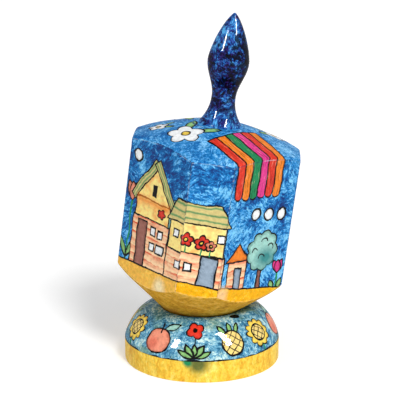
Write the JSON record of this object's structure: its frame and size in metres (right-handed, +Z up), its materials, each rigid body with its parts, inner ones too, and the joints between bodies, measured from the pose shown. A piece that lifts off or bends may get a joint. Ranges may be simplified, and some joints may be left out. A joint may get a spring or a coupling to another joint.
{
  "type": "dreidel",
  "caption": "Painted wooden dreidel with a chamfered square block, turned cone and handle, leaning in a turned ring stand and free to spin in its socket.",
  "frame": {"origin": "centre of the ring stand's flat underside, on the table", "axes": "+Z up, -Y towards the front corner flat that faces the viewer, +X to the viewer's right, the side that the dreidel leans to"},
  "size_m": [0.0695, 0.0653, 0.1339],
  "materials": {
    "painted_stand": "mottled blue-green dome over a yellow band, ink outlines, clear gloss varnish",
    "painted_block": "mottled watercolour blue with painted houses, flowers and one to four white pips over a golden yellow lower part, ink outlines, clear gloss varnish",
    "painted_handle": "dark mottled blue paint under clear gloss varnish"
  },
  "bodies": {
    "stand": {"ring_stand": "painted_stand"},
    "dreidel": {"dreidel_block": "painted_block", "handle": "painted_handle"}
  },
  "joints": [
    {"name": "spin", "type": "hinge", "parent": "stand", "child": "dreidel", "pos_m": [-0.00406, 0.00116, 0.00805], "axis": [0.1271, -0.0365, 0.9912], "continuous": true}
  ]
}
